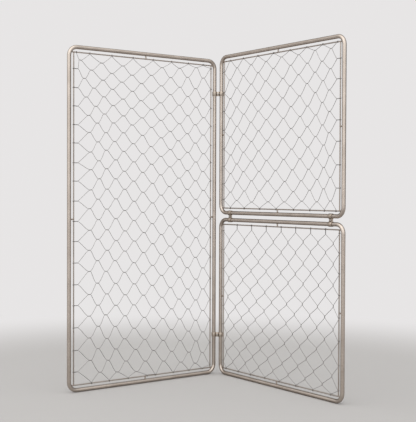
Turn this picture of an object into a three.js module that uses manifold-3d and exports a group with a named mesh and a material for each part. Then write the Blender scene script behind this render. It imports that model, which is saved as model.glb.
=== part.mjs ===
// A two-leaf folding screen of steel tube and wire netting. Millimetres, +Z up.
//
// The left leaf is one tall frame of bent round tube. The right leaf is two shorter frames, one
// above the other. Inside each tube frame a rectangle of thin rods stands off the tube on short
// pegs, and a wire net is stretched across the rods. The leaves are joined by two strap clamps,
// which turn on the upright tubes as hinges, and two more clamps hold the right leaf's frames
// together. The screen stands on its bottom tubes, opened to a right angle.
//
// Each leaf is built in its own frame: +X runs from its hinge tube outwards, +Z is up, and zero is
// the centre of the lower corner of the tube. The leaves are then turned into place.

import * as THREE from 'three';
import { mergeVertices } from 'three/addons/utils/BufferGeometryUtils.js';
import Module from 'manifold-3d';

// Frames, between tube centrelines.
const LEFT_WIDTH = 986;
const LEFT_HEIGHT = 1878;
const RIGHT_WIDTH = 1046;
const LOWER_HEIGHT = 924;
const UPPER_HEIGHT = 934;

// Tube, rods and pegs.
const TUBE_RADIUS = 11;
const TUBE_WALL = 1.5;
const TUBE_SIDES = 12;
const BORE_SIDES = 8;
const BEND_RADIUS = 48;
const BEND_STEPS = 4;
const ROD_RADIUS = 3.5;
const ROD_SIDES = 8;
const ROD_INSET = 28;
const PEG_RADIUS = 4;

// Net: the counts are half cells, across and up.
const NET_THICKNESS = 2.5;
const NET_STRAND = 3;
const LEFT_NET = { across: 15, up: 32 };
const UPPER_NET = { across: 15, up: 16 };
const LOWER_NET = { across: 16, up: 15 };

// Clamps.
const CLAMP_SPACING = 42;
const CLAMP_WIDTH = 26;
const STRAP_THICKNESS = 2.5;
const STRAP_ARC_STEPS = 9;
const BOLT_RADIUS = 3;
const BOLT_SIDES = 12;
const HEX_SIDES = 6;
const HEX_ACROSS_FLATS = 10;
const BOLT_HEAD_HEIGHT = 4;
const NUT_HEIGHT = 5;
const BOLT_TIP = 2;
const UPPER_HINGE_HEIGHT = 1682;
const LOWER_HINGE_HEIGHT = 226;
const COUPLER_INSET = 92;

// Fits. The web face and the seat of a bolt head or nut are counted from a clamp's mid-plane.
const GAP = 0.3;
const WEB_FACE = GAP / 2 + STRAP_THICKNESS;
const SEAT = WEB_FACE + GAP;
const DRILL_LENGTH = 60;
const SEAM_PLACE = 0.25;
const QUARTER_TURN = Math.PI / 2;
const LINK_ANGLE = -Math.PI / 4;

const wasm = await Module();
wasm.setup();

const frameSteel = new THREE.MeshStandardMaterial({ color: 0xb8a897, roughness: 0.35, metalness: 1 });
const rodSteel = new THREE.MeshStandardMaterial({ color: 0xa39588, roughness: 0.4, metalness: 1 });
const netWire = new THREE.MeshStandardMaterial({ color: 0xa9a29e, roughness: 0.45, metalness: 1 });
const clampSteel = new THREE.MeshStandardMaterial({ color: 0xab9c8b, roughness: 0.4, metalness: 1 });
const boltSteel = new THREE.MeshStandardMaterial({ color: 0x9a938c, roughness: 0.35, metalness: 1 });

// A regular polygon whose flats are at the given radius: the radius of its corners.
function cornerRadius(flatRadius, sides) {
  return flatRadius / Math.cos(Math.PI / sides);
}

function polygonPoints(flatRadius, sides) {
  const radius = cornerRadius(flatRadius, sides);
  const points = [];
  for (let i = 0; i < sides; i += 1) {
    const angle = ((i + 0.5) * 2 * Math.PI) / sides;
    points.push(new THREE.Vector2(radius * Math.cos(angle), radius * Math.sin(angle)));
  }
  return points;
}

// A polygonal bar along +Y, with a flat towards each side.
function barGeometry(flatRadius, sides, length) {
  const radius = cornerRadius(flatRadius, sides);
  return new THREE.CylinderGeometry(radius, radius, length, sides, 1, false, Math.PI / sides);
}

function named(name, geometry, material) {
  const mesh = new THREE.Mesh(geometry, material);
  mesh.name = name;
  return mesh;
}

// Booleans.
function toSolid(geometry) {
  const bare = geometry.clone();
  bare.deleteAttribute('normal');
  bare.deleteAttribute('uv');
  const merged = mergeVertices(bare);
  return new wasm.Manifold(new wasm.Mesh({
    numProp: 3,
    vertProperties: Float32Array.from(merged.attributes.position.array),
    triVerts: Uint32Array.from(merged.index.array),
  }));
}

function toGeometry(solid) {
  const mesh = solid.getMesh();
  const geometry = new THREE.BufferGeometry();
  geometry.setAttribute('position', new THREE.BufferAttribute(mesh.vertProperties, 3));
  geometry.setIndex(new THREE.BufferAttribute(mesh.triVerts, 1));
  geometry.computeVertexNormals();
  return geometry;
}

function cut(geometry, tool) {
  return toGeometry(toSolid(geometry).subtract(toSolid(tool)));
}

// The centreline of a bent tube: a rectangle with round corners in the XZ plane, which starts and
// ends at a butt seam in its bottom side. Its stations are the seam and the steps of each bend.
class FrameLine extends THREE.Curve {
  constructor(width, height) {
    super();
    const seamX = width * SEAM_PLACE;
    this.points = [];
    this.tangents = [];
    this.addStation(seamX, 0, 0);
    this.addBend(width - BEND_RADIUS, BEND_RADIUS, -QUARTER_TURN);
    this.addBend(width - BEND_RADIUS, height - BEND_RADIUS, 0);
    this.addBend(BEND_RADIUS, height - BEND_RADIUS, QUARTER_TURN);
    this.addBend(BEND_RADIUS, BEND_RADIUS, 2 * QUARTER_TURN);
    this.addStation(seamX - GAP, 0, 0);
  }

  addStation(x, z, heading) {
    this.points.push(new THREE.Vector3(x, 0, z));
    this.tangents.push(new THREE.Vector3(Math.cos(heading), 0, Math.sin(heading)));
  }

  addBend(centreX, centreZ, startAngle) {
    for (let i = 0; i <= BEND_STEPS; i += 1) {
      const angle = startAngle + (i / BEND_STEPS) * QUARTER_TURN;
      const x = centreX + BEND_RADIUS * Math.cos(angle);
      const z = centreZ + BEND_RADIUS * Math.sin(angle);
      this.addStation(x, z, angle + QUARTER_TURN);
    }
  }

  get steps() {
    return this.points.length - 1;
  }

  getUtoTmapping(u) {
    return u;
  }

  getPoint(t, target = new THREE.Vector3()) {
    return target.copy(this.points[Math.round(t * this.steps)]);
  }

  getTangent(t, target = new THREE.Vector3()) {
    return target.copy(this.tangents[Math.round(t * this.steps)]);
  }
}

function tubeFrameGeometry(width, height) {
  const section = new THREE.Shape(polygonPoints(TUBE_RADIUS, TUBE_SIDES));
  section.holes.push(new THREE.Path(polygonPoints(TUBE_RADIUS - TUBE_WALL, BORE_SIDES)));
  const line = new FrameLine(width, height);
  return new THREE.ExtrudeGeometry(section, { steps: line.steps, extrudePath: line, curveSegments: 1 });
}

// How far a horizontal rod stops short of the tube's centreline, so that it clears the bend.
function rodEndInset() {
  const chordFactor = Math.cos(QUARTER_TURN / BEND_STEPS / 2);
  const bendInside = (BEND_RADIUS - cornerRadius(TUBE_RADIUS, TUBE_SIDES)) * chordFactor;
  const rise = BEND_RADIUS - ROD_INSET + cornerRadius(ROD_RADIUS, ROD_SIDES);
  return BEND_RADIUS - Math.sqrt(bendInside ** 2 - rise ** 2) + GAP;
}

function horizontalBar(name, radius, fromX, toX, z) {
  const bar = named(name, barGeometry(radius, ROD_SIDES, toX - fromX), rodSteel);
  bar.rotation.z = QUARTER_TURN;
  bar.position.set((fromX + toX) / 2, 0, z);
  return bar;
}

function verticalBar(name, radius, x, fromZ, toZ) {
  const bar = named(name, barGeometry(radius, ROD_SIDES, toZ - fromZ), rodSteel);
  bar.rotation.x = QUARTER_TURN;
  bar.position.set(x, 0, (fromZ + toZ) / 2);
  return bar;
}

// The rods run from bend to bend, and the upright ones stand between the two level ones.
function rodRectangle(prefix, width, height) {
  const group = new THREE.Group();
  const endX = rodEndInset();
  const endZ = ROD_INSET + cornerRadius(ROD_RADIUS, ROD_SIDES) + GAP;
  group.add(horizontalBar(`${prefix}_bottom_rod`, ROD_RADIUS, endX, width - endX, ROD_INSET));
  group.add(horizontalBar(`${prefix}_top_rod`, ROD_RADIUS, endX, width - endX, height - ROD_INSET));
  group.add(verticalBar(`${prefix}_inner_rod`, ROD_RADIUS, ROD_INSET, endZ, height - endZ));
  group.add(verticalBar(`${prefix}_outer_rod`, ROD_RADIUS, width - ROD_INSET, endZ, height - endZ));
  return group;
}

// One peg at the middle of each side, from the tube to the rod.
function pegs(prefix, width, height) {
  const group = new THREE.Group();
  const near = TUBE_RADIUS + GAP;
  const far = ROD_INSET - ROD_RADIUS - GAP;
  group.add(verticalBar(`${prefix}_bottom_peg`, PEG_RADIUS, width / 2, near, far));
  group.add(verticalBar(`${prefix}_top_peg`, PEG_RADIUS, width / 2, height - far, height - near));
  group.add(horizontalBar(`${prefix}_inner_peg`, PEG_RADIUS, near, far, height / 2));
  group.add(horizontalBar(`${prefix}_outer_peg`, PEG_RADIUS, width - far, width - near, height / 2));
  return group;
}

// The opening of a net cell, as a diamond prism through the net.
function cellOpening(halfWidth, halfHeight) {
  const centreToStrand = (halfWidth * halfHeight) / Math.hypot(halfWidth, halfHeight);
  const share = 1 - NET_STRAND / 2 / centreToStrand;
  const diamond = new THREE.CylinderGeometry(1, 1, 2 * NET_THICKNESS, 4);
  diamond.scale(halfWidth * share, 1, halfHeight * share);
  return diamond;
}

// A plate in the frame's plane, as far inside the tube on every side as the margin says.
function plateGeometry(width, height, margin, thickness) {
  const plate = new THREE.BoxGeometry(width - 2 * margin, thickness, height - 2 * margin);
  return plate.translate(width / 2, 0, height / 2);
}

// The net as a flat lattice with a plain border. Its cells stand on a grid of half cells, one on
// every other point from the bottom inner corner, and the border cuts off the outermost ones.
function netGeometry(width, height, counts) {
  const margin = ROD_INSET + cornerRadius(ROD_RADIUS, ROD_SIDES) + 2 * GAP;
  const halfWidth = (width - 2 * margin) / counts.across;
  const halfHeight = (height - 2 * margin) / counts.up;
  const openings = [];
  for (let column = 0; column <= counts.across; column += 1) {
    for (let row = 0; row <= counts.up; row += 1) {
      if ((column + row) % 2 === 0) {
        const cell = cellOpening(halfWidth, halfHeight);
        cell.translate(margin + column * halfWidth, 0, margin + row * halfHeight);
        openings.push(toSolid(cell));
      }
    }
  }
  const outer = toSolid(plateGeometry(width, height, margin, NET_THICKNESS));
  const inner = toSolid(plateGeometry(width, height, margin + NET_STRAND, 2 * NET_THICKNESS));
  const lattice = outer.subtract(wasm.Manifold.union(openings).intersect(inner));
  return toGeometry(lattice);
}

// One whole frame: tube, rods, pegs and net.
function meshFrame(prefix, width, height, netCounts) {
  const group = new THREE.Group();
  group.add(named(`${prefix}_tube_frame`, tubeFrameGeometry(width, height), frameSteel));
  group.add(rodRectangle(prefix, width, height));
  group.add(pegs(prefix, width, height));
  group.add(named(`${prefix}_net`, netGeometry(width, height, netCounts), netWire));
  return group;
}

function arcPoints(centreX, radius, startAngle, endAngle, steps) {
  const points = [];
  for (let i = 0; i <= steps; i += 1) {
    const angle = startAngle + ((endAngle - startAngle) * i) / steps;
    points.push(new THREE.Vector2(centreX + radius * Math.cos(angle), radius * Math.sin(angle)));
  }
  return points;
}

// Half of a clamp, on its +Y side: a half ring round each tube, and a flat web between them with
// a hole for the bolt. The tubes run along Z, at x = 0 and x = CLAMP_SPACING.
function strapGeometry() {
  const split = GAP / 2;
  const stepAngle = Math.PI / STRAP_ARC_STEPS;
  const inside = (cornerRadius(TUBE_RADIUS, TUBE_SIDES) + GAP) / Math.cos(stepAngle / 2);
  const outside = inside + STRAP_THICKNESS;
  const inStart = Math.asin(split / inside);
  const outStart = Math.asin(split / outside);
  const webStart = Math.asin(WEB_FACE / outside);
  const profile = [
    ...arcPoints(0, outside, Math.PI - outStart, webStart, STRAP_ARC_STEPS),
    ...arcPoints(CLAMP_SPACING, outside, Math.PI - webStart, outStart, STRAP_ARC_STEPS),
    ...arcPoints(CLAMP_SPACING, inside, inStart, Math.PI - inStart, STRAP_ARC_STEPS),
    ...arcPoints(0, inside, inStart, Math.PI - inStart, STRAP_ARC_STEPS),
  ];
  const strap = new THREE.ExtrudeGeometry(
    new THREE.Shape(profile),
    { depth: CLAMP_WIDTH, bevelEnabled: false },
  );
  strap.translate(0, 0, -CLAMP_WIDTH / 2);
  const drill = barGeometry(BOLT_RADIUS + GAP, BOLT_SIDES, DRILL_LENGTH);
  drill.translate(CLAMP_SPACING / 2, 0, 0);
  return cut(strap, drill);
}

function hexGeometry(height) {
  return barGeometry(HEX_ACROSS_FLATS / 2, HEX_SIDES, height);
}

// The bolt lies along Y, with its head on the -Y side.
function boltGeometry() {
  const headMiddle = -SEAT - BOLT_HEAD_HEIGHT / 2;
  const shankEnd = SEAT + NUT_HEIGHT + BOLT_TIP;
  const head = hexGeometry(BOLT_HEAD_HEIGHT);
  head.translate(0, headMiddle, 0);
  const shank = barGeometry(BOLT_RADIUS, BOLT_SIDES, shankEnd - headMiddle);
  shank.translate(0, (headMiddle + shankEnd) / 2, 0);
  return toGeometry(toSolid(head).add(toSolid(shank)));
}

function nutGeometry() {
  const bore = barGeometry(BOLT_RADIUS + GAP, BOLT_SIDES, DRILL_LENGTH);
  const nut = cut(hexGeometry(NUT_HEIGHT), bore);
  nut.translate(0, SEAT + NUT_HEIGHT / 2, 0);
  return nut;
}

// A clamp of two straps, a bolt and a nut, reaching from the first tube along +X to the second.
// Its front is the -Y side.
function clamp(prefix) {
  const group = new THREE.Group();
  const rear = named(`${prefix}_rear_strap`, strapGeometry(), clampSteel);
  const front = named(`${prefix}_front_strap`, strapGeometry(), clampSteel);
  front.rotation.x = Math.PI;
  const bolt = named(`${prefix}_bolt`, boltGeometry(), boltSteel);
  bolt.position.x = CLAMP_SPACING / 2;
  const nut = named(`${prefix}_nut`, nutGeometry(), boltSteel);
  nut.position.x = CLAMP_SPACING / 2;
  group.add(rear, front, bolt, nut);
  return group;
}

function leftLeaf() {
  const leaf = meshFrame('left', LEFT_WIDTH, LEFT_HEIGHT, LEFT_NET);
  leaf.rotation.z = Math.PI;
  return leaf;
}

function rightLeaf() {
  const leaf = new THREE.Group();
  const lower = meshFrame('lower', RIGHT_WIDTH, LOWER_HEIGHT, LOWER_NET);
  const upper = meshFrame('upper', RIGHT_WIDTH, UPPER_HEIGHT, UPPER_NET);
  upper.position.z = LOWER_HEIGHT + CLAMP_SPACING;
  leaf.add(lower, upper);
  const couplers = [
    ['inner_coupler', COUPLER_INSET],
    ['outer_coupler', RIGHT_WIDTH - COUPLER_INSET],
  ];
  for (const [prefix, x] of couplers) {
    const coupler = clamp(prefix);
    coupler.rotation.y = -QUARTER_TURN;
    coupler.position.set(x, 0, LOWER_HEIGHT);
    leaf.add(coupler);
  }
  leaf.rotation.z = -QUARTER_TURN;
  leaf.position.set(CLAMP_SPACING * Math.cos(LINK_ANGLE), CLAMP_SPACING * Math.sin(LINK_ANGLE), 0);
  return leaf;
}

function hinges() {
  const group = new THREE.Group();
  const places = [['lower_hinge', LOWER_HINGE_HEIGHT], ['upper_hinge', UPPER_HINGE_HEIGHT]];
  for (const [prefix, z] of places) {
    const hinge = clamp(prefix);
    hinge.rotation.z = LINK_ANGLE;
    hinge.position.z = z;
    group.add(hinge);
  }
  return group;
}

// The leaves meet at the left leaf's hinge tube. The whole is then moved so that the origin is in
// the middle of its footprint, on the floor.
function foldingScreen() {
  const screen = new THREE.Group();
  screen.add(leftLeaf(), rightLeaf(), hinges());
  screen.updateMatrixWorld(true);
  const box = new THREE.Box3().setFromObject(screen, true);
  const centre = box.getCenter(new THREE.Vector3());
  screen.position.set(-centre.x, -centre.y, -box.min.z);
  return screen;
}

export default foldingScreen();
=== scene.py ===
import math
import random

import bmesh
import bpy
import numpy as np
from mathutils import Matrix, Vector


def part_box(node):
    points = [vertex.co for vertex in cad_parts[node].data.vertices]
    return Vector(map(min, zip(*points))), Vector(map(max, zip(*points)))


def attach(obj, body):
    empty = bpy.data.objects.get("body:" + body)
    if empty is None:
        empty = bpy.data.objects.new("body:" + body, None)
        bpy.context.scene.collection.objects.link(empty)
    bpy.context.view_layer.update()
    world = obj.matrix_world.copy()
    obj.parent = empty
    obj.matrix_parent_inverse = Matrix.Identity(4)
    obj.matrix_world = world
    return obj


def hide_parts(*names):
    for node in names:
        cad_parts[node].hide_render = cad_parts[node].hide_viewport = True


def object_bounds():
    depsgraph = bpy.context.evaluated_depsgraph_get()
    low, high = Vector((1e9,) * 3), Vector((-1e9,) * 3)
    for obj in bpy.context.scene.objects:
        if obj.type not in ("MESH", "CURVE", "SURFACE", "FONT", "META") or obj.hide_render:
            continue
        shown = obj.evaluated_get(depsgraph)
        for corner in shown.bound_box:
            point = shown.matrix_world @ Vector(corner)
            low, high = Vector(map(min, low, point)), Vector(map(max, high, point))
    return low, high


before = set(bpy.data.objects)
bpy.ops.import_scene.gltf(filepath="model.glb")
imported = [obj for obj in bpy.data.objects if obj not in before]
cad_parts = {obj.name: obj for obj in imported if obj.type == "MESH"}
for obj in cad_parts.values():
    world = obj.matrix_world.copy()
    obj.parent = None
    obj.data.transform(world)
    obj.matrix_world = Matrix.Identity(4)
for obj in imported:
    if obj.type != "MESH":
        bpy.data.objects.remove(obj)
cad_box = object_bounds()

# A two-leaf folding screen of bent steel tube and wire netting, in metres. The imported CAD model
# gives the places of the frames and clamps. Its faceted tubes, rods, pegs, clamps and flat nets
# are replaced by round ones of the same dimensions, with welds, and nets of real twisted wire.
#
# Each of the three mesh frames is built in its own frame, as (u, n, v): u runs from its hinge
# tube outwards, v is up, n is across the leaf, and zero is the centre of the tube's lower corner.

# Frames, between tube centrelines.
LEFT_WIDTH = 0.986
LEFT_HEIGHT = 1.878
RIGHT_WIDTH = 1.046
LOWER_HEIGHT = 0.924
UPPER_HEIGHT = 0.934

# Tube, rods, pegs and welds. Rods and pegs run on a little into what they are welded to. The
# tube's butt seam is in its bottom side, at a share of the width from the hinge tube.
TUBE_RADIUS = 0.011
BEND_RADIUS = 0.048
ROD_RADIUS = 0.0035
ROD_INSET = 0.028
PEG_RADIUS = 0.004
BURIED = 0.002
WELD_RADIUS = 0.0013
WELD_RIPPLE = 0.12
SEAM_PLACE = 0.25
SEAM_DEPTH = 0.0002
SEAM_WIDTH = 0.004
SEAM_SPREAD = 0.0012

# Clamps. The heights of the web, bolt and nut are counted from a clamp's mid-plane.
CLAMP_SPACING = 0.042
CLAMP_WIDTH = 0.026
RING_INSIDE = 0.0113
RING_OUTSIDE = 0.014
WEB_FACE = 0.00265
WEB_FILLET = 0.0025
STRAP_SPLIT = 0.00015
STRAP_EDGE = 0.0005
BOLT_RADIUS = 0.003
THREAD_DEPTH = 0.0003
THREAD_PITCH = 0.001
THREAD_LEAD = 0.0006
HEX_ACROSS_FLATS = 0.010
HEX_FACE_SHARE = 0.95
HEX_CHAMFER_ANGLE = math.radians(25)
HEX_SEAT_BEVEL = 0.0002
BOLT_HEAD_TOP = 0.00695
NUT_TOP = 0.00795
BOLT_TIP = 0.00995
LINK_ANGLE = math.radians(-45)

# Net wire. A stem is two wires twisted together between an end rod and the net, and a wrap winds
# a wire round a rod. A strand's bow is how far it keeps the direction of the twists it joins.
WIRE_RADIUS = 0.0012
STEM_LENGTH = 0.027
STEM_PITCH = 0.012
WRAP_RADIUS = ROD_RADIUS + WIRE_RADIUS
WRAP_TURNS = 1.6
WRAP_START = math.pi / 2 - 0.3
WRAP_ADVANCE = 0.0026
PEG_CLEARANCE = 0.012
CORNER_CLEARANCE = 0.045
KNOT_JITTER = 0.0045
DEPTH_JITTER = 0.0015
HOOK_BOW_SHARE = 0.5
SHORT_STRAND = 0.02
SHORT_STRAND_BOW = 1.0

# Mesh fineness. A weld's line is found by halving a search of a given length. A peg is a little
# wider than a rod, so where it passes by the rod their weld lies at the end of its search.
TUBE_SIDES = 40
ROD_SIDES = 20
WIRE_SIDES = 8
BEAD_SIDES = 8
TURN_STEPS = 12
STRAND_STEPS = 8
BEND_STEPS = 16
STRAIGHT_STEP = 0.02
WELD_STEPS = 32
WELD_SEARCH = 0.01
PEG_TO_ROD_SEARCH = ROD_INSET / 3
WELD_SEARCH_HALVINGS = 30
RING_OUTSIDE_STEPS = 22
RING_INSIDE_STEPS = 24
FILLET_STEPS = 6
HEX_STEPS = 72
THREAD_SIDES = 24
THREAD_STEPS = 8

# The camera, as the photograph was taken.
CAMERA_PLACE = Vector((-2.9685, -4.0713, 1.1051))
CAMERA_HEADING = math.radians(36.414)
CAMERA_PITCH = math.radians(-1.187)
CAMERA_ROLL = math.radians(0.198)
CAMERA_LENS = 81.03
CAMERA_REACH = 200

# Where the knots of each net stand, as (u, v) measured off the photograph at a few places. A line
# is a row of knots along which the wires run, and a station counts the knots along a line. Each
# row below is one line and goes along it. The lines are spaced evenly, and so are the stations.
LEFT_GRID = (
    ((0.915, 1.808), (0.604, 1.798), (0.296, 1.814), (0.036, 1.832)),
    ((0.862, 1.425), (0.600, 1.431), (0.304, 1.406), (0.027, 1.385)),
    ((0.855, 1.020), (0.589, 1.012), (0.301, 0.977), (0.026, 0.959)),
    ((0.859, 0.570), (0.590, 0.551), (0.294, 0.511), (0.031, 0.490)),
    ((0.849, 0.093), (0.572, 0.063), (0.278, 0.029), (0.048, -0.020)),
)
UPPER_GRID = (
    ((0.032, 0.909), (0.346, 0.920), (0.693, 0.934), (0.997, 0.923)),
    ((0.030, 0.438), (0.354, 0.475), (0.705, 0.478), (0.984, 0.500)),
    ((0.034, 0.032), (0.367, 0.011), (0.726, 0.016), (0.991, 0.024)),
)
LOWER_GRID = (
    ((0.018, 0.857), (0.007, 0.433), (-0.002, 0.020)),
    ((0.552, 0.872), (0.540, 0.443), (0.483, 0.028)),
    ((1.029, 0.880), (1.037, 0.467), (1.033, -0.009)),
)

# The colour of the studio, and of the floor, which fades into it between these distances.
BACKGROUND = (0.80, 0.785, 0.785, 1.0)
FLOOR_COLOUR = (0.41, 0.398, 0.388, 1.0)
FLOOR_FADE = (1.7, 3.6)
FLOOR_SIZE = 60.0
FLOOR_GAP = 0.0005

# The light: the studio is brighter towards one side, and one large lamp hangs above the screen,
# in front of it. The spread is the cosine of the angle from that side at which its light starts
# to grow, and at which it is full.
BRIGHT_SIDE = Vector((-0.60, -0.45, 0.65))
BRIGHT_SPREAD = (-0.4, 0.75)
BRIGHT_LEVELS = (0.25, 2.1)
KEY_PLACE = Vector((-1.6, -1.0, 4.4))
KEY_TARGET = Vector((0, 0, 0.9))
KEY_SIZE = 4.5
KEY_POWER = 40


# Small vector tools, on arrays of points.
def unit(vectors):
    return vectors / np.linalg.norm(vectors, axis=-1, keepdims=True)


def path_directions(path, closed):
    if closed:
        return unit(np.roll(path, -1, axis=0) - np.roll(path, 1, axis=0))
    ahead = np.vstack([path[1:], path[-1:]])
    behind = np.vstack([path[:1], path[:-1]])
    return unit(ahead - behind)


def carried_sides(directions):
    """Side vectors that follow a path without twisting about it, from any one to start with."""
    side = np.cross(directions[0], (0.3, 0.5, 0.8))
    sides = []
    for direction in directions:
        side = unit(side - direction * np.dot(side, direction))
        sides.append(side)
    return np.array(sides)


class Shape:
    """The vertices, faces and UVs of one mesh. UVs are in metres: round the bar, and along it."""

    def __init__(self):
        self.points = []
        self.faces = []
        self.uvs = []
        self.count = 0

    def add_rings(self, rings, around, along, closed=False):
        """Joins equal rings of points with quads. around and along are UV lengths."""
        ring_count, sides = rings.shape[:2]
        first = self.count
        self.points.append(rings.reshape(-1, 3))
        self.count += ring_count * sides
        spans = ring_count if closed else ring_count - 1
        for i in range(spans):
            here = first + i * sides
            after = first + ((i + 1) % ring_count) * sides
            low = along[i]
            high = along[i + 1]
            for j in range(sides):
                k = (j + 1) % sides
                left = around * j / sides
                right = around * (j + 1) / sides
                self.faces.append((here + j, here + k, after + k, after + j))
                self.uvs.extend(((left, low), (right, low), (right, high), (left, high)))
        if not closed:
            self.add_cap(range(first + sides - 1, first - 1, -1), rings[0][::-1])
            last = first + (ring_count - 1) * sides
            self.add_cap(range(last, last + sides), rings[-1])

    def add_cap(self, corners, ring):
        across = unit(ring[0] - ring.mean(axis=0))
        upward = unit(np.cross(np.cross(across, ring[1] - ring[0]), across))
        self.faces.append(tuple(corners))
        self.uvs.extend((float(np.dot(p, across)), float(np.dot(p, upward))) for p in ring)

    def add_bar(self, path, radius, sides, closed=False, side_vectors=None):
        """A round bar along a path. The radius is one number, or one for each point or vertex."""
        path = np.asarray(path, float)
        directions = path_directions(path, closed)
        if side_vectors is None:
            first = carried_sides(directions)
        else:
            first = np.broadcast_to(side_vectors, path.shape)
            first = unit(first - directions * np.sum(first * directions, axis=1, keepdims=True))
        second = np.cross(directions, first)
        angles = np.arange(sides) * 2 * math.pi / sides
        radii = np.asarray(radius, float)
        if radii.ndim == 1:
            radii = radii[:, None]
        radii = np.broadcast_to(radii, (len(path), sides))[:, :, None]
        spokes = (np.cos(angles)[None, :, None] * first[:, None, :]
                  + np.sin(angles)[None, :, None] * second[:, None, :])
        rings = path[:, None, :] + radii * spokes
        steps = np.linalg.norm(np.diff(path, axis=0, append=path[:1]), axis=1)
        along = np.concatenate([[0.0], np.cumsum(steps)])
        self.add_rings(rings, 2 * math.pi * float(radii.mean()), along, closed)

    def make_mesh(self, name, matrix):
        points = np.vstack(self.points)
        turned = points @ np.array(matrix.to_3x3()).T + np.array(matrix.translation)
        mesh = bpy.data.meshes.new(name)
        mesh.from_pydata(turned.tolist(), [], self.faces)
        layer = mesh.uv_layers.new(name="metres")
        layer.data.foreach_set("uv", np.array(self.uvs, np.float32).ravel())
        return mesh


def add_piece(name, mesh, material, body, nodes=(), sharp_angle=40):
    """Makes a mesh into a piece of the screen, which rides on a body and stands for CAD nodes."""
    mesh.materials.append(material)
    mesh.shade_smooth()
    mesh.set_sharp_from_angle(angle=math.radians(sharp_angle))
    piece = bpy.data.objects.new(name, mesh)
    bpy.context.scene.collection.objects.link(piece)
    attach(piece, body)
    if nodes:
        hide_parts(*nodes)
    return piece


# Materials. The edge tint is how steel reflects at a glancing angle. The grain's pattern runs in
# metres round and along a bar, and the others run evenly through the piece.
EDGE_TINT = (0.26, 0.21, 0.18, 1.0)
EVEN = (1.0, 1.0, 1.0)
GRAIN_STRETCH = (2600.0, 60.0, 1.0)
CLOUD_SCALE = 14.0
SPECKLE_SCALE = 420.0
HEAT_SCALE = 160.0


class Nodes:
    """A material's node tree, with short calls to add and link nodes."""

    def __init__(self, name):
        self.material = bpy.data.materials.new(name)
        self.material.use_nodes = True
        self.tree = self.material.node_tree
        self.shader = self.tree.nodes["Principled BSDF"]

    def add(self, kind, **settings):
        node = self.tree.nodes.new(kind)
        for key, value in settings.items():
            setattr(node, key, value)
        return node

    def link(self, output, socket):
        self.tree.links.new(output, socket)

    def coordinates(self, output, scale):
        source = self.add("ShaderNodeTexCoord")
        mapping = self.add("ShaderNodeMapping")
        mapping.inputs["Scale"].default_value = scale
        self.link(source.outputs[output], mapping.inputs["Vector"])
        return mapping.outputs["Vector"]

    def noise(self, vector, scale, detail):
        node = self.add("ShaderNodeTexNoise")
        node.inputs["Scale"].default_value = scale
        node.inputs["Detail"].default_value = detail
        self.link(vector, node.inputs["Vector"])
        return node.outputs["Fac"]

    def map_range(self, value, source, target):
        node = self.add("ShaderNodeMapRange")
        node.inputs["From Min"].default_value = source[0]
        node.inputs["From Max"].default_value = source[1]
        node.inputs["To Min"].default_value = target[0]
        node.inputs["To Max"].default_value = target[1]
        self.link(value, node.inputs["Value"])
        return node.outputs["Result"]

    def mix_colour(self, factor, first, second):
        node = self.add("ShaderNodeMix", data_type="RGBA")
        self.link(factor, node.inputs["Factor"])
        for value, socket in ((first, node.inputs["A"]), (second, node.inputs["B"])):
            if isinstance(value, tuple):
                socket.default_value = (*value, 1.0)
            else:
                self.link(value, socket)
        return node.outputs["Result"]

    def bump(self, height, strength, distance):
        node = self.add("ShaderNodeBump")
        node.inputs["Strength"].default_value = strength
        node.inputs["Distance"].default_value = distance
        self.link(height, node.inputs["Height"])
        self.link(node.outputs["Normal"], self.shader.inputs["Normal"])


def steel(name, colour, dark, roughness, grain, spots):
    """Bare steel: a grain along the bar, cloudy colour, and duller spots where it has aged."""
    nodes = Nodes(name)
    pale = tuple(1.12 * c for c in colour)
    aged = tuple(0.62 * c for c in dark)
    clouds = nodes.noise(nodes.coordinates("Object", EVEN), CLOUD_SCALE, detail=4.0)
    grain_lines = nodes.noise(nodes.coordinates("UV", GRAIN_STRETCH), 1.0, detail=3.0)
    speckle = nodes.noise(nodes.coordinates("Object", EVEN), SPECKLE_SCALE, detail=2.0)
    clouded = nodes.map_range(clouds, (0.35, 0.7), (0.0, 1.0))
    tone = nodes.mix_colour(clouded, colour, dark)
    brightened = nodes.map_range(grain_lines, (0.45, 0.75), (0.0, 0.5 * grain))
    lined = nodes.mix_colour(brightened, tone, pale)
    dulled = nodes.map_range(speckle, (0.58, 0.72), (0.0, spots))
    marked = nodes.mix_colour(dulled, lined, aged)
    nodes.link(marked, nodes.shader.inputs["Base Color"])
    smooth_and_rough = (roughness - 0.05 * grain, roughness + 0.07 * grain)
    rough = nodes.map_range(grain_lines, (0.3, 0.7), smooth_and_rough)
    nodes.link(rough, nodes.shader.inputs["Roughness"])
    nodes.shader.inputs["Metallic"].default_value = 1.0
    nodes.shader.inputs["Specular Tint"].default_value = EDGE_TINT
    nodes.bump(grain_lines, 0.25 * grain, 0.00005)
    return nodes.material


def weld_metal():
    """A weld bead, with patches of straw and dark brown where it was hot."""
    nodes = Nodes("weld_metal")
    straw = (0.34, 0.25, 0.17)
    brown = (0.20, 0.17, 0.17)
    bands = nodes.noise(nodes.coordinates("Object", EVEN), HEAT_SCALE, detail=2.0)
    heat = nodes.mix_colour(nodes.map_range(bands, (0.35, 0.65), (0.0, 1.0)), straw, brown)
    nodes.link(heat, nodes.shader.inputs["Base Color"])
    nodes.link(nodes.map_range(bands, (0.3, 0.7), (0.34, 0.55)), nodes.shader.inputs["Roughness"])
    nodes.shader.inputs["Metallic"].default_value = 1.0
    nodes.bump(bands, 0.3, 0.0001)
    return nodes.material


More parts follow.
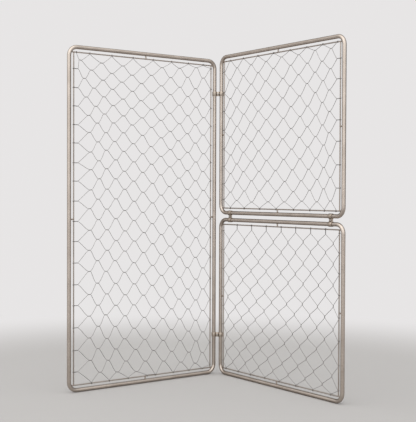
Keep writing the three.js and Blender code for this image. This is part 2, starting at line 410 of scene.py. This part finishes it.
class MeshFrame:
    """Where one frame of tube and net stands, and how large it is."""

    def __init__(self, prefix, body, width, height, turn):
        low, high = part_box(f"{prefix}_tube_frame")
        corner_x = (low.x + high.x) / 2
        corner_y = high.y - TUBE_RADIUS
        if prefix == "left":
            corner_x = high.x - TUBE_RADIUS
            corner_y = (low.y + high.y) / 2
        self.prefix = prefix
        self.body = body
        self.width = width
        self.height = height
        place = Matrix.Translation((corner_x, corner_y, low.z + TUBE_RADIUS))
        self.matrix = place @ Matrix.Rotation(turn, 4, "Z")

    def tube_distance(self, point):
        """How far outside the tube's surface a point is."""
        across = abs(point[0] - self.width / 2) - (self.width / 2 - BEND_RADIUS)
        upward = abs(point[2] - self.height / 2) - (self.height / 2 - BEND_RADIUS)
        beyond = math.hypot(max(across, 0.0), max(upward, 0.0)) + min(max(across, upward), 0.0)
        return math.hypot(beyond - BEND_RADIUS, point[1]) - TUBE_RADIUS

    def level_rod_end(self):
        """Where a level rod's centreline meets the inside of the bend."""
        rise = BEND_RADIUS - ROD_INSET
        return BEND_RADIUS - math.sqrt((BEND_RADIUS - TUBE_RADIUS) ** 2 - rise ** 2)


def rod_distance(axis_u=None, axis_v=None):
    """A function for how far outside a level or upright rod's surface a point is."""
    def distance(point):
        if axis_u is None:
            return math.hypot(point[1], point[2] - axis_v) - ROD_RADIUS
        return math.hypot(point[1], point[0] - axis_u) - ROD_RADIUS
    return distance


def straight_points(start, end):
    count = max(2, round(math.dist(start, end) / STRAIGHT_STEP))
    shares = np.arange(count)[:, None] / count
    return np.array(start) * (1 - shares) + np.array(end) * shares


def bend_points(centre_u, centre_v, start_angle):
    angles = start_angle + np.arange(BEND_STEPS) / BEND_STEPS * math.pi / 2
    u = centre_u + BEND_RADIUS * np.cos(angles)
    v = centre_v + BEND_RADIUS * np.sin(angles)
    return np.stack([u, np.zeros(BEND_STEPS), v], axis=1)


def tube_path(width, height):
    """The tube's closed centreline, from the seam in its bottom side."""
    seam = width * SEAM_PLACE
    near = BEND_RADIUS
    far = width - BEND_RADIUS
    top = height - BEND_RADIUS
    fine = [(seam + SEAM_WIDTH * step / 4, 0.0, 0.0) for step in range(-4, 5)]
    return np.vstack([
        fine[4:],
        straight_points((seam + 2 * SEAM_WIDTH, 0, 0), (far, 0, 0)),
        bend_points(far, near, -math.pi / 2),
        straight_points((width, 0, near), (width, 0, top)),
        bend_points(far, top, 0.0),
        straight_points((far, 0, height), (near, 0, height)),
        bend_points(near, top, math.pi / 2),
        straight_points((0, 0, top), (0, 0, near)),
        bend_points(near, near, math.pi),
        straight_points((near, 0, 0), (seam - 2 * SEAM_WIDTH, 0, 0)),
        fine[:4],
    ])


def make_tube(place, material):
    path = tube_path(place.width, place.height)
    from_seam = np.linalg.norm(path - path[0], axis=1)
    radii = TUBE_RADIUS - SEAM_DEPTH * np.exp(-(from_seam / SEAM_SPREAD) ** 2)
    shape = Shape()
    shape.add_bar(path, radii, TUBE_SIDES, closed=True, side_vectors=(0.0, 1.0, 0.0))
    mesh = shape.make_mesh(f"{place.prefix}_tube", place.matrix)
    node = f"{place.prefix}_tube_frame"
    add_piece(f"{place.prefix}_tube", mesh, material, place.body, [node])


def rod_lines(place):
    """The two end points of each rod, by name. The upright rods stand between the level ones."""
    end_u = place.level_rod_end() - BURIED
    end_v = ROD_INSET
    width, height = place.width, place.height
    return {
        "bottom_rod": ((end_u, 0, ROD_INSET), (width - end_u, 0, ROD_INSET)),
        "top_rod": ((end_u, 0, height - ROD_INSET), (width - end_u, 0, height - ROD_INSET)),
        "inner_rod": ((ROD_INSET, 0, end_v), (ROD_INSET, 0, height - end_v)),
        "outer_rod": ((width - ROD_INSET, 0, end_v), (width - ROD_INSET, 0, height - end_v)),
    }


def peg_lines(place):
    near = TUBE_RADIUS - BURIED
    far = ROD_INSET
    width, height = place.width, place.height
    return {
        "bottom_peg": ((width / 2, 0, near), (width / 2, 0, far)),
        "top_peg": ((width / 2, 0, height - far), (width / 2, 0, height - near)),
        "inner_peg": ((near, 0, height / 2), (far, 0, height / 2)),
        "outer_peg": ((width - far, 0, height / 2), (width - near, 0, height / 2)),
    }


def make_bars(place, lines, radius, material):
    for part, (start, end) in lines.items():
        path = np.vstack([straight_points(start, end), [end]])
        shape = Shape()
        shape.add_bar(path, radius, ROD_SIDES, side_vectors=(0.0, 1.0, 0.0))
        name = f"{place.prefix}_{part}"
        mesh = shape.make_mesh(f"{name}_round", place.matrix)
        add_piece(f"{name}_round", mesh, material, place.body, [name])


def meeting_ring(start, direction, radius, distance, reach=WELD_SEARCH):
    """The closed line where a round bar from start meets a surface, looked for within reach.

    distance says how far outside that surface a point is.
    """
    direction = np.array(direction, float)
    first = np.array((0.0, 1.0, 0.0))
    second = np.cross(direction, first)
    ring = []
    for i in range(WELD_STEPS):
        angle = 2 * math.pi * i / WELD_STEPS
        foot = np.array(start) + radius * (math.cos(angle) * first + math.sin(angle) * second)
        outside, inside = 0.0, reach
        for _ in range(WELD_SEARCH_HALVINGS):
            middle = (outside + inside) / 2
            if distance(foot + middle * direction) > 0:
                outside = middle
            else:
                inside = middle
        ring.append(foot + outside * direction)
    return np.array(ring)


def add_weld(shape, ring):
    """A bead along a ring, with a ripple at every other point."""
    ripples = 1 + WELD_RIPPLE * np.cos(np.arange(len(ring)) * math.pi)
    outward = unit(ring - ring.mean(axis=0))
    shape.add_bar(ring, WELD_RADIUS * ripples, BEAD_SIDES, closed=True, side_vectors=outward)


def make_welds(place, material):
    """A fillet weld wherever a rod or peg ends, made as one piece for each mesh frame."""
    shape = Shape()
    width, height = place.width, place.height
    for v in (ROD_INSET, height - ROD_INSET):
        for u, way in ((ROD_INSET, -1), (width - ROD_INSET, 1)):
            start = (u, 0, v)
            ring = meeting_ring(start, (way, 0, 0), ROD_RADIUS, place.tube_distance, ROD_INSET)
            add_weld(shape, ring)
    for u in (ROD_INSET, width - ROD_INSET):
        for v, way in ((ROD_INSET, -1), (height - ROD_INSET, 1)):
            start = (u, 0, v - way * WELD_SEARCH)
            add_weld(shape, meeting_ring(start, (0, 0, way), ROD_RADIUS, rod_distance(axis_v=v)))
    peg_middle = (TUBE_RADIUS + ROD_INSET - ROD_RADIUS) / 2
    for v, rod_v, way in ((peg_middle, ROD_INSET, -1), (height - peg_middle, height - ROD_INSET, 1)):
        start = (width / 2, 0, v)
        rod = rod_distance(axis_v=rod_v)
        add_weld(shape, meeting_ring(start, (0, 0, way), PEG_RADIUS, place.tube_distance))
        add_weld(shape, meeting_ring(start, (0, 0, -way), PEG_RADIUS, rod, PEG_TO_ROD_SEARCH))
    for u, rod_u, way in ((peg_middle, ROD_INSET, -1), (width - peg_middle, width - ROD_INSET, 1)):
        start = (u, 0, height / 2)
        rod = rod_distance(axis_u=rod_u)
        add_weld(shape, meeting_ring(start, (way, 0, 0), PEG_RADIUS, place.tube_distance))
        add_weld(shape, meeting_ring(start, (-way, 0, 0), PEG_RADIUS, rod, PEG_TO_ROD_SEARCH))
    mesh = shape.make_mesh(f"{place.prefix}_welds", place.matrix)
    add_piece(f"{place.prefix}_welds", mesh, material, place.body)


# The nets.
def grid_weights(count, share):
    """Lagrange weights: how much each of several evenly spaced places counts at a share of the
    way from the first to the last."""
    weights = np.ones(count)
    for i in range(count):
        for j in range(count):
            if i != j:
                weights[i] *= (share * (count - 1) - j) / (i - j)
    return weights


class NetPlan:
    """How one net is laid out, for the subclasses to give its numbers.

    Two wires are twisted together where station + line is odd or even, as parity says. On the
    first and last line the outermost wire hooks round a rod. At each end of the net the wires
    are tied round the end rod in pairs, straight on, or by a twisted stem where it stands off.

    grid_lines and grid_stations are the first and last ones that the grid was measured at, along
    and across are the ways that stations and lines count, and the rods are where the net ends.
    """

    def __init__(self, place):
        self.place = place
        self.random = random.Random(self.seed)
        self.knots = {}
        self.level = bool(self.along[0])

    def row(self, wire, station):
        """The line that a wire is on at a station: its own number, or the next."""
        return wire if (station + wire) % 2 == self.parity else wire + 1

    def rod_side(self, station, line):
        """Which rod a knot is on: -1 for the first line's, 1 for the last line's, 0 for none."""
        if line == 0:
            return -1
        if line == self.line_count:
            return 1
        cut_short = self.last_wire_stations < self.last_station
        if cut_short and line == self.line_count - 1 and station >= self.last_wire_stations:
            return 1
        return 0

    def plain_knot(self, station, line):
        """A knot's place by the grid, or on a rod if it hooks round one."""
        grid = np.array(self.grid)
        first, last = self.grid_lines
        line_weights = grid_weights(len(grid), (line - first) / (last - first))
        first, last = self.grid_stations
        station_weights = grid_weights(len(grid[0]), (station - first) / (last - first))
        u, v = np.einsum("i,j,ijk->k", line_weights, station_weights, grid)
        side = self.rod_side(station, line)
        if side:
            rod = self.first_rod if side < 0 else self.last_rod
            if self.level:
                return self.free_place(u, self.place.width), rod
            return rod, self.free_place(v, self.place.height)
        return u, v

    def knot(self, station, line):
        """A knot's place, with the small scatter of hand work, drawn once for each knot."""
        key = (station, line)
        if key not in self.knots:
            u, v = self.plain_knot(station, line)
            draws = [self.random.uniform(-1, 1) for _ in range(3)]
            if self.rod_side(station, line) == 0:
                u += KNOT_JITTER * draws[0]
                v += KNOT_JITTER * draws[1]
            self.knots[key] = np.array((u, DEPTH_JITTER * draws[2], v))
        return self.knots[key]

    def local_direction(self, station, line):
        """The way the wires run at a knot, towards higher stations."""
        before = np.array(self.plain_knot(max(self.first_station, station - 1), line))
        after = np.array(self.plain_knot(min(self.last_station, station + 1), line))
        along = unit(after - before)
        return np.array((along[0], 0.0, along[1]))

    def free_place(self, value, size):
        """The nearest place for a hook along a rod, away from the tube's corners and the peg."""
        value = min(max(value, CORNER_CLEARANCE), size - CORNER_CLEARANCE)
        return self.clear_of_peg(value, size / 2)

    def clear_of_peg(self, value, middle):
        """Moves a place along a rod aside if it is too near the peg at the middle."""
        gap = value - middle
        if abs(gap) < PEG_CLEARANCE:
            return middle + math.copysign(PEG_CLEARANCE, gap)
        return value


class LeftNet(NetPlan):
    """Wires run level from the outer side in, and the lines go down."""
    grid = LEFT_GRID
    grid_lines = (1, 32)
    grid_stations = (1, 15)
    first_station = 0
    last_station = 15
    last_wire_stations = 8
    line_count = 33
    parity = 0
    seed = 3
    bow = 0.45
    twist_length = 0.014
    along = np.array((-1.0, 0.0, 0.0))
    across = np.array((0.0, 0.0, -1.0))
    stem_at_start = True
    stem_at_end = False
    start_rod = LEFT_WIDTH - ROD_INSET
    end_rod = ROD_INSET
    first_rod = LEFT_HEIGHT - ROD_INSET
    last_rod = ROD_INSET


class UpperNet(NetPlan):
    """Wires run level from the inner side out, and the lines go down."""
    grid = UPPER_GRID
    grid_lines = (0, 16)
    grid_stations = (0, 15)
    first_station = 0
    last_station = 15
    last_wire_stations = 15
    line_count = 16
    parity = 1
    seed = 5
    bow = 0.28
    twist_length = 0.012
    along = np.array((1.0, 0.0, 0.0))
    across = np.array((0.0, 0.0, -1.0))
    stem_at_start = False
    stem_at_end = True
    start_rod = ROD_INSET
    end_rod = RIGHT_WIDTH - ROD_INSET
    first_rod = UPPER_HEIGHT - ROD_INSET
    last_rod = ROD_INSET


class LowerNet(NetPlan):
    """Wires run down from the top, and the lines go from the inner side out."""
    grid = LOWER_GRID
    grid_lines = (0, 16)
    grid_stations = (1, 16)
    first_station = 1
    last_station = 16
    last_wire_stations = 16
    line_count = 16
    parity = 1
    seed = 7
    bow = 0.13
    twist_length = 0.010
    along = np.array((0.0, 0.0, -1.0))
    across = np.array((1.0, 0.0, 0.0))
    stem_at_start = True
    stem_at_end = False
    start_rod = LOWER_HEIGHT - ROD_INSET
    end_rod = ROD_INSET
    first_rod = ROD_INSET
    last_rod = RIGHT_WIDTH - ROD_INSET


def helix(centre, along, side, length, turns, phase):
    """A wire twisted about a line through centre, from -length/2 to length/2 along it."""
    steps = round(turns * TURN_STEPS)
    shares = np.arange(steps + 1)[:, None] / steps
    angles = phase + 2 * math.pi * turns * shares
    normal = np.array((0.0, 1.0, 0.0))
    offset = np.cos(angles) * side + np.sin(angles) * normal
    return centre + (shares - 0.5) * length * along + WIRE_RADIUS * offset


def wrap(centre, axis, inward):
    """A wire wound round a rod: over its front, round the far side, and out behind it.

    inward points from the rod to the net, and the coil advances along axis.
    """
    normal = np.array((0.0, 1.0, 0.0))
    steps = round(WRAP_TURNS * TURN_STEPS)
    shares = np.arange(steps + 1)[:, None] / steps
    angles = WRAP_START + 2 * math.pi * WRAP_TURNS * shares
    advance = (shares - 0.5) * WRAP_ADVANCE * WRAP_TURNS
    spokes = np.cos(angles) * inward + np.sin(angles) * normal
    return centre + advance * axis + WRAP_RADIUS * spokes


def strand(before, after, bow):
    """A smooth wire from the end of one piece of path to the start of the next, as the points
    between the two."""
    start, end = before[-1], after[0]
    chord = np.linalg.norm(end - start)
    out = unit(before[-1] - before[-2]) * chord * bow
    into = unit(after[1] - after[0]) * chord * bow
    t = (np.arange(1, STRAND_STEPS) / STRAND_STEPS)[:, None]
    return ((2 * t ** 3 - 3 * t ** 2 + 1) * start + (t ** 3 - 2 * t ** 2 + t) * out
            + (3 * t ** 2 - 2 * t ** 3) * end + (t ** 3 - t ** 2) * into)


class NetWeaver:
    """Lays one continuous wire through a net plan, as a list of path pieces. coils holds the
    places in that list of the hooks."""

    def __init__(self, plan):
        self.plan = plan
        self.pieces = []
        self.coils = set()

    def add_twist(self, wire, station, way):
        """One wire's half of a twist with its neighbour. way is 1 towards higher stations."""
        plan = self.plan
        line = plan.row(wire, station)
        along = plan.local_direction(station, line)
        side = np.cross(along, (0.0, 1.0, 0.0))
        side *= -math.copysign(1.0, np.dot(side, plan.across))
        phase = math.pi if line == wire else 0.0
        points = helix(plan.knot(station, line), along, side, plan.twist_length, 1, phase)
        self.pieces.append(points if way > 0 else points[::-1])

    def add_hook(self, wire, station, way):
        plan = self.plan
        line = plan.row(wire, station)
        rod = plan.rod_side(station, line)
        centre = plan.knot(station, line) * (1, 0, 1)
        self.coils.add(len(self.pieces))
        self.pieces.append(wrap(centre, plan.along * way, -rod * plan.across))

    def add_end(self, wire, station, way):
        """Ties a wire and the next one round the end rod, and turns back along the next."""
        plan = self.plan
        at_start = station == plan.first_station
        rod_place = plan.start_rod if at_start else plan.end_rod
        stemmed = plan.stem_at_start if at_start else plan.stem_at_end
        run_axis, rod_axis = (0, 2) if plan.level else (2, 0)
        middle = (plan.place.height if plan.level else plan.place.width) / 2
        on_rod = plan.knot(station, wire + 1) * (1, 0, 1)
        on_rod[run_axis] = rod_place
        on_rod[rod_axis] = plan.clear_of_peg(on_rod[rod_axis], middle)
        outward = plan.along * way
        coil = wrap(on_rod, plan.across, -outward)
        if not stemmed:
            self.pieces.append(coil)
            return
        length = STEM_LENGTH - WRAP_RADIUS
        centre = on_rod - outward * (WRAP_RADIUS + length / 2)
        turns = round(length / STEM_PITCH) + 0.25
        out = helix(centre, outward, -plan.across, length, turns, 0.0)
        back = helix(centre, outward, -plan.across, length, turns, math.pi)[::-1]
        self.pieces.extend([out, coil, back])

    def weave(self):
        """Runs to and fro between the ends of the net, one wire after the other."""
        plan = self.plan
        stations = list(range(plan.first_station, plan.last_station + 1))
        first_row = plan.row(0, plan.last_station)
        way = 1 if first_row == 1 else -1
        for wire in range(plan.line_count):
            last_wire = wire == plan.line_count - 1
            run = stations if way > 0 else stations[::-1]
            if last_wire:
                run = [s for s in run if s <= plan.last_wire_stations]
            for station in run:
                row = plan.row(wire, station)
                at_end = station in (plan.first_station, plan.last_station)
                if plan.rod_side(station, row):
                    self.add_hook(wire, station, way)
                elif not at_end:
                    self.add_twist(wire, station, way)
                elif station == run[-1]:
                    self.add_end(wire, station, way)
            way = -way
        return self.joined()

    def joined(self):
        """The whole wire. A strand bows less beside a hook, and turns round if it is short."""
        path = [self.pieces[0]]
        for i, (before, after) in enumerate(zip(self.pieces, self.pieces[1:])):
            bow = self.plan.bow
            if self.coils & {i, i + 1}:
                bow *= HOOK_BOW_SHARE
            if np.linalg.norm(after[0] - before[-1]) < SHORT_STRAND:
                bow = SHORT_STRAND_BOW
            path.append(strand(before, after, bow))
            path.append(after)
        return np.vstack(path)


def make_net(plan, material):
    place = plan.place
    shape = Shape()
    shape.add_bar(NetWeaver(plan).weave(), WIRE_RADIUS, WIRE_SIDES)
    name = f"{place.prefix}_net_wires"
    mesh = shape.make_mesh(name, place.matrix)
    add_piece(name, mesh, material, place.body, [f"{place.prefix}_net"])


# The clamps, in their own frame: the tubes run along Z at x = 0 and x = CLAMP_SPACING, and the
# front is the -Y side.
def arc(centre, radius, start, end, steps):
    """Points on an arc, with both ends, from one angle to another."""
    angles = np.linspace(start, end, steps + 1)
    return [(centre[0] + radius * math.cos(a), centre[1] + radius * math.sin(a)) for a in angles]


def strap_outline():
    """Half of a clamp in section, on the +Y side: two half rings and the web between them."""
    reach = RING_OUTSIDE + WEB_FILLET
    fillet_y = WEB_FACE + WEB_FILLET
    fillet_x = math.sqrt(reach ** 2 - fillet_y ** 2)
    meet = math.atan2(fillet_y, fillet_x)
    outside = math.asin(STRAP_SPLIT / RING_OUTSIDE)
    inside = math.asin(STRAP_SPLIT / RING_INSIDE)
    first = (0.0, 0.0)
    second = (CLAMP_SPACING, 0.0)
    first_fillet = (fillet_x, fillet_y)
    second_fillet = (CLAMP_SPACING - fillet_x, fillet_y)
    down = 1.5 * math.pi
    return (
        arc(first, RING_OUTSIDE, math.pi - outside, meet, RING_OUTSIDE_STEPS)
        + arc(first_fillet, WEB_FILLET, math.pi + meet, down, FILLET_STEPS)[1:]
        + arc(second_fillet, WEB_FILLET, down, 2 * math.pi - meet, FILLET_STEPS)
        + arc(second, RING_OUTSIDE, math.pi - meet, outside, RING_OUTSIDE_STEPS)[1:]
        + arc(second, RING_INSIDE, inside, math.pi - inside, RING_INSIDE_STEPS)
        + arc(first, RING_INSIDE, inside, math.pi - inside, RING_INSIDE_STEPS)
    )


def strap_mesh(name, matrix):
    """The strap's section raised to its width, with its two rims rounded off."""
    build = bmesh.new()
    bottom = [build.verts.new((x, y, -CLAMP_WIDTH / 2)) for x, y in strap_outline()]
    face = build.faces.new(bottom)
    lifted = bmesh.ops.extrude_face_region(build, geom=[face])["geom"]
    top = [item for item in lifted if isinstance(item, bmesh.types.BMVert)]
    bmesh.ops.translate(build, vec=(0, 0, CLAMP_WIDTH), verts=top)
    bmesh.ops.recalc_face_normals(build, faces=build.faces)
    rims = [edge for edge in build.edges if edge.verts[0].co.z == edge.verts[1].co.z]
    bmesh.ops.bevel(build, geom=rims, offset=STRAP_EDGE, segments=2, profile=0.5, affect="EDGES")
    layer = build.loops.layers.uv.new("metres")
    for corner in (loop for item in build.faces for loop in item.loops):
        place = corner.vert.co
        corner[layer].uv = (place.z, place.x + place.y)
    mesh = bpy.data.meshes.new(name)
    build.to_mesh(mesh)
    build.free()
    mesh.transform(matrix)
    return mesh


def hex_rings(seat, top):
    """Rings of points along Y up a hexagonal head or nut, from its seat to its chamfered top."""
    angles = np.arange(HEX_STEPS) * 2 * math.pi / HEX_STEPS
    flat = HEX_ACROSS_FLATS / 2
    corner_angle = (angles + math.pi / 6) % (math.pi / 3) - math.pi / 6
    edge = flat / np.cos(corner_angle)
    circle = np.full(HEX_STEPS, HEX_FACE_SHARE * flat)
    level = np.zeros(HEX_STEPS)
    way = math.copysign(1.0, top - seat)
    drop = (edge - circle) * math.tan(HEX_CHAMFER_ANGLE)
    bevel = seat + way * HEX_SEAT_BEVEL
    rings = []
    for radius, height, lowered in (
        (circle, seat, level),
        (edge, bevel, level),
        (edge, top, drop),
        (circle, top, level),
    ):
        y = height - way * lowered
        rings.append(np.stack([radius * np.cos(angles), y, -way * radius * np.sin(angles)], axis=1))
    return np.array(rings)


def thread_rings(start, end):
    """Rings of points along a threaded shank, with a short chamfer at its end."""
    angles = np.arange(THREAD_SIDES) * 2 * math.pi / THREAD_SIDES
    count = round((end - start) / THREAD_PITCH * THREAD_STEPS)
    rings = []
    for y in np.linspace(start, end, count + 1):
        depth = 0.5 - 0.5 * np.cos(2 * math.pi * y / THREAD_PITCH - angles)
        radius = BOLT_RADIUS - THREAD_DEPTH * depth - max(0.0, y - end + THREAD_LEAD)
        height = np.full(THREAD_SIDES, y)
        rings.append(np.stack([radius * np.cos(angles), height, -radius * np.sin(angles)], axis=1))
    return np.array(rings)


def hex_mesh(name, rings_list, matrix):
    """A bolt or nut, from one list of rings for each of its solids."""
    shape = Shape()
    for rings in rings_list:
        levels = rings[:, :, 1].mean(axis=1)
        shape.add_rings(rings, 2 * math.pi * BOLT_RADIUS, [abs(y - levels[0]) for y in levels])
    return shape.make_mesh(name, matrix)


def make_clamp(prefix, body, matrix, strap_material, bolt_material):
    """Two straps, a bolt with its head in front, and a nut behind."""
    front_turn = Matrix.Rotation(math.pi, 4, "X")
    for side, turn in (("rear", Matrix.Identity(4)), ("front", front_turn)):
        node = f"{prefix}_{side}_strap"
        mesh = strap_mesh(f"{node}_pressed", matrix @ turn)
        add_piece(f"{node}_pressed", mesh, strap_material, body, [node], sharp_angle=35)
    middle = matrix @ Matrix.Translation((CLAMP_SPACING / 2, 0, 0))
    bolt = [hex_rings(-WEB_FACE, -BOLT_HEAD_TOP), thread_rings(-WEB_FACE, BOLT_TIP)]
    for part, rings in (("bolt", bolt), ("nut", [hex_rings(WEB_FACE, NUT_TOP)])):
        node = f"{prefix}_{part}"
        mesh = hex_mesh(f"{node}_hex", rings, middle)
        add_piece(f"{node}_hex", mesh, bolt_material, body, [node], sharp_angle=30)


def box_centre(*nodes):
    """The middle of the box round several CAD nodes."""
    corners = [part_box(node) for node in nodes]
    low = Vector(min(c[0][i] for c in corners) for i in range(3))
    high = Vector(max(c[1][i] for c in corners) for i in range(3))
    return (low + high) / 2


def make_clamps(left, lower, strap_material, bolt_material):
    """The two hinges reach level from the left frame's tube, and the two couplers upright from
    the lower frame's."""
    for prefix in ("lower_hinge", "upper_hinge"):
        centre = box_centre(f"{prefix}_rear_strap", f"{prefix}_front_strap")
        place = Matrix.Translation((left.matrix.translation.x, left.matrix.translation.y, centre.z))
        matrix = place @ Matrix.Rotation(LINK_ANGLE, 4, "Z")
        make_clamp(prefix, "hinge_links", matrix, strap_material, bolt_material)
    for prefix in ("inner_coupler", "outer_coupler"):
        centre = box_centre(f"{prefix}_rear_strap", f"{prefix}_front_strap")
        place = Matrix.Translation((centre.x, centre.y, lower.matrix.translation.z + LOWER_HEIGHT))
        turn = Matrix.Rotation(-math.pi / 2, 4, "Z") @ Matrix.Rotation(-math.pi / 2, 4, "Y")
        make_clamp(prefix, "right_leaf", place @ turn, strap_material, bolt_material)


def make_screen():
    tube_steel = steel("tube_steel", colour=(0.475, 0.415, 0.365), dark=(0.40, 0.345, 0.30),
                       roughness=0.28, grain=0.35, spots=0.08)
    rod_steel = steel("rod_steel", colour=(0.42, 0.37, 0.33), dark=(0.33, 0.29, 0.26),
                      roughness=0.36, grain=0.8, spots=0.35)
    net_steel = steel("net_steel", colour=(0.29, 0.275, 0.27), dark=(0.24, 0.23, 0.22),
                      roughness=0.5, grain=0.1, spots=0.2)
    strap_steel = steel("strap_steel", colour=(0.46, 0.39, 0.33), dark=(0.35, 0.30, 0.25),
                        roughness=0.36, grain=0.8, spots=0.35)
    bolt_steel = steel("bolt_steel", colour=(0.42, 0.39, 0.36), dark=(0.32, 0.30, 0.27),
                       roughness=0.33, grain=0.5, spots=0.35)
    bead = weld_metal()
    left = MeshFrame("left", "left_leaf", LEFT_WIDTH, LEFT_HEIGHT, math.pi)
    lower = MeshFrame("lower", "right_leaf", RIGHT_WIDTH, LOWER_HEIGHT, -math.pi / 2)
    upper = MeshFrame("upper", "right_leaf", RIGHT_WIDTH, UPPER_HEIGHT, -math.pi / 2)
    for place in (left, lower, upper):
        make_tube(place, tube_steel)
        make_bars(place, rod_lines(place), ROD_RADIUS, rod_steel)
        make_bars(place, peg_lines(place), PEG_RADIUS, rod_steel)
        make_welds(place, bead)
    make_net(LeftNet(left), net_steel)
    make_net(UpperNet(upper), net_steel)
    make_net(LowerNet(lower), net_steel)
    make_clamps(left, lower, strap_steel, bolt_steel)


def make_camera():
    data = bpy.data.cameras.new("camera")
    data.lens = CAMERA_LENS
    data.clip_end = CAMERA_REACH
    camera = bpy.data.objects.new("camera", data)
    level = math.cos(CAMERA_PITCH)
    forward = Vector((math.sin(CAMERA_HEADING) * level,
                      math.cos(CAMERA_HEADING) * level,
                      math.sin(CAMERA_PITCH)))
    right = Vector((math.cos(CAMERA_HEADING), -math.sin(CAMERA_HEADING), 0))
    up = right.cross(forward)
    rolled_right = math.cos(CAMERA_ROLL) * right + math.sin(CAMERA_ROLL) * up
    rolled_up = math.cos(CAMERA_ROLL) * up - math.sin(CAMERA_ROLL) * right
    turn = Matrix((rolled_right, rolled_up, -forward)).transposed()
    camera.matrix_world = Matrix.Translation(CAMERA_PLACE) @ turn.to_4x4()
    bpy.context.scene.collection.objects.link(camera)
    bpy.context.scene.camera = camera


def floor_material():
    """One pale grey all round the screen, which fades into the white of the studio further off."""
    nodes = Nodes("floor")
    geometry = nodes.add("ShaderNodeNewGeometry")
    distance = nodes.add("ShaderNodeVectorMath", operation="LENGTH")
    nodes.link(geometry.outputs["Position"], distance.inputs[0])
    fade = nodes.add("ShaderNodeMapRange", interpolation_type="SMOOTHSTEP")
    fade.inputs["From Min"].default_value = FLOOR_FADE[0]
    fade.inputs["From Max"].default_value = FLOOR_FADE[1]
    nodes.link(distance.outputs["Value"], fade.inputs["Value"])
    nodes.shader.inputs["Base Color"].default_value = FLOOR_COLOUR
    nodes.shader.inputs["Roughness"].default_value = 0.8
    nodes.shader.inputs["Specular IOR Level"].default_value = 0.2
    white = nodes.add("ShaderNodeEmission")
    white.inputs["Color"].default_value = BACKGROUND
    blend = nodes.add("ShaderNodeMixShader")
    nodes.link(fade.outputs["Result"], blend.inputs["Fac"])
    nodes.link(nodes.shader.outputs["BSDF"], blend.inputs[1])
    nodes.link(white.outputs["Emission"], blend.inputs[2])
    nodes.link(blend.outputs["Shader"], nodes.tree.nodes["Material Output"].inputs["Surface"])
    return nodes.material


def make_floor():
    build = bmesh.new()
    bmesh.ops.create_grid(build, x_segments=1, y_segments=1, size=FLOOR_SIZE)
    mesh = bpy.data.meshes.new("floor")
    build.to_mesh(mesh)
    build.free()
    mesh.materials.append(floor_material())
    floor = bpy.data.objects.new("floor", mesh)
    floor.location.z = cad_box[0].z - FLOOR_GAP
    bpy.context.scene.collection.objects.link(floor)


def make_world():
    """The camera sees an even pale studio, which lights the screen more from its bright side."""
    world = bpy.data.worlds.new("studio")
    bpy.context.scene.world = world
    world.use_nodes = True
    nodes = world.node_tree.nodes
    links = world.node_tree.links
    seen = nodes["Background"]
    seen.inputs["Color"].default_value = BACKGROUND
    room = nodes.new("ShaderNodeBackground")
    coordinates = nodes.new("ShaderNodeTexCoord")
    brightness = nodes.new("ShaderNodeVectorMath")
    brightness.operation = "DOT_PRODUCT"
    brightness.inputs[1].default_value = BRIGHT_SIDE.normalized()
    links.new(coordinates.outputs["Generated"], brightness.inputs[0])
    ramp = nodes.new("ShaderNodeMapRange")
    ramp.interpolation_type = "SMOOTHSTEP"
    ramp.inputs["From Min"].default_value = BRIGHT_SPREAD[0]
    ramp.inputs["From Max"].default_value = BRIGHT_SPREAD[1]
    ramp.inputs["To Min"].default_value = BRIGHT_LEVELS[0]
    ramp.inputs["To Max"].default_value = BRIGHT_LEVELS[1]
    links.new(brightness.outputs["Value"], ramp.inputs["Value"])
    links.new(ramp.outputs["Result"], room.inputs["Strength"])
    rays = nodes.new("ShaderNodeLightPath")
    blend = nodes.new("ShaderNodeMixShader")
    links.new(rays.outputs["Is Camera Ray"], blend.inputs["Fac"])
    links.new(room.outputs["Background"], blend.inputs[1])
    links.new(seen.outputs["Background"], blend.inputs[2])
    links.new(blend.outputs["Shader"], nodes["World Output"].inputs["Surface"])


def make_key_light():
    data = bpy.data.lights.new("key", "AREA")
    data.size = KEY_SIZE
    data.energy = KEY_POWER
    light = bpy.data.objects.new("key", data)
    light.location = KEY_PLACE
    light.rotation_mode = "QUATERNION"
    light.rotation_quaternion = (KEY_TARGET - KEY_PLACE).to_track_quat("-Z", "Y")
    bpy.context.scene.collection.objects.link(light)


make_camera()
make_screen()
make_floor()
make_world()
make_key_light()
bpy.context.scene.view_settings.view_transform = "Standard"
